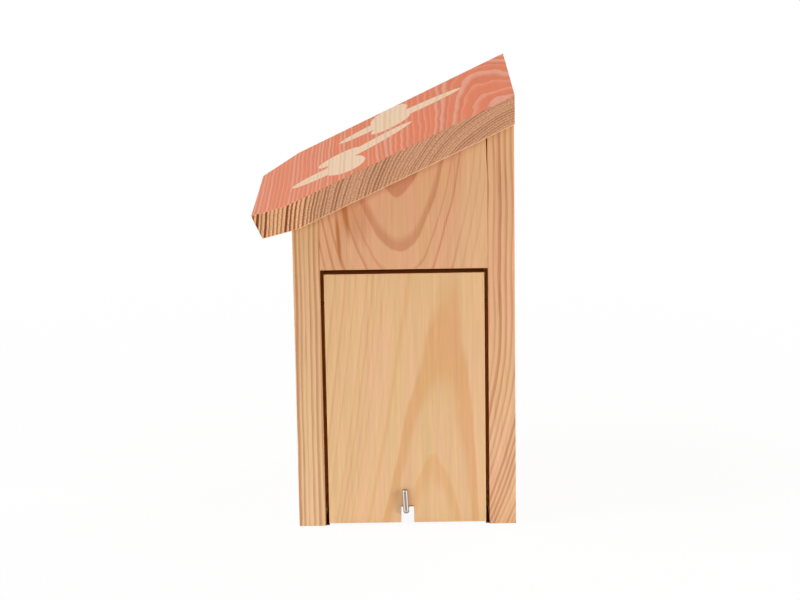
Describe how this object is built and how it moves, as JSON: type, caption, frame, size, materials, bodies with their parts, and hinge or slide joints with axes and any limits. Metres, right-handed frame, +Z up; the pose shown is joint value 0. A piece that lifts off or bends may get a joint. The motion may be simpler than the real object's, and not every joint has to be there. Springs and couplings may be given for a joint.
{
  "type": "butterfly house",
  "caption": "Wooden butterfly house with a sloping stained roof, upright entry slots in front and a side door that swings up on pivot nails and is locked by a screw hook.",
  "frame": {"origin": "on the ground under the middle of the house's width and of the roof's depth", "axes": "+Z up, +Y towards the back that lies against a wall, +X towards the door's side, the front with the entry slots faces -Y"},
  "size_m": [0.2, 0.1767, 0.298],
  "materials": {
    "bare_wood": "planed softwood, bare",
    "stained_wood": "planed softwood, salmon stain on the upper face",
    "zinc_steel": "bright zinc plating",
    "nail_steel": "plain drawn steel"
  },
  "bodies": {
    "house": {"back_board": "bare_wood", "front_board": "bare_wood", "left_side_board": "bare_wood", "right_upper_panel": "bare_wood", "floor_board": "bare_wood", "roof_board": "stained_wood", "front_pivot_nail": "nail_steel", "back_pivot_nail": "nail_steel", "roof_nails_front": "nail_steel", "roof_nails_back": "nail_steel", "roof_nails_left": "nail_steel", "roof_nails_right": "nail_steel", "front_nails_left": "nail_steel", "front_nails_right": "nail_steel", "front_nails_floor": "nail_steel", "back_nails_left": "nail_steel", "back_nails_right": "nail_steel", "back_nails_floor": "nail_steel", "left_nails_floor": "nail_steel"},
    "door": {"door_panel": "bare_wood"},
    "hook": {"latch_hook": "zinc_steel"}
  },
  "joints": [
    {"name": "door_hinge", "type": "hinge", "parent": "house", "child": "door", "pos_m": [0.081, 0.0142, 0.15496], "axis": [0, -1, 0], "range_deg": [0, 135]},
    {"name": "hook_turn", "type": "hinge", "parent": "house", "child": "hook", "pos_m": [0.0715, 0.0133, 0.0102], "axis": [1, 0, 0], "range_deg": [0, 180]}
  ]
}
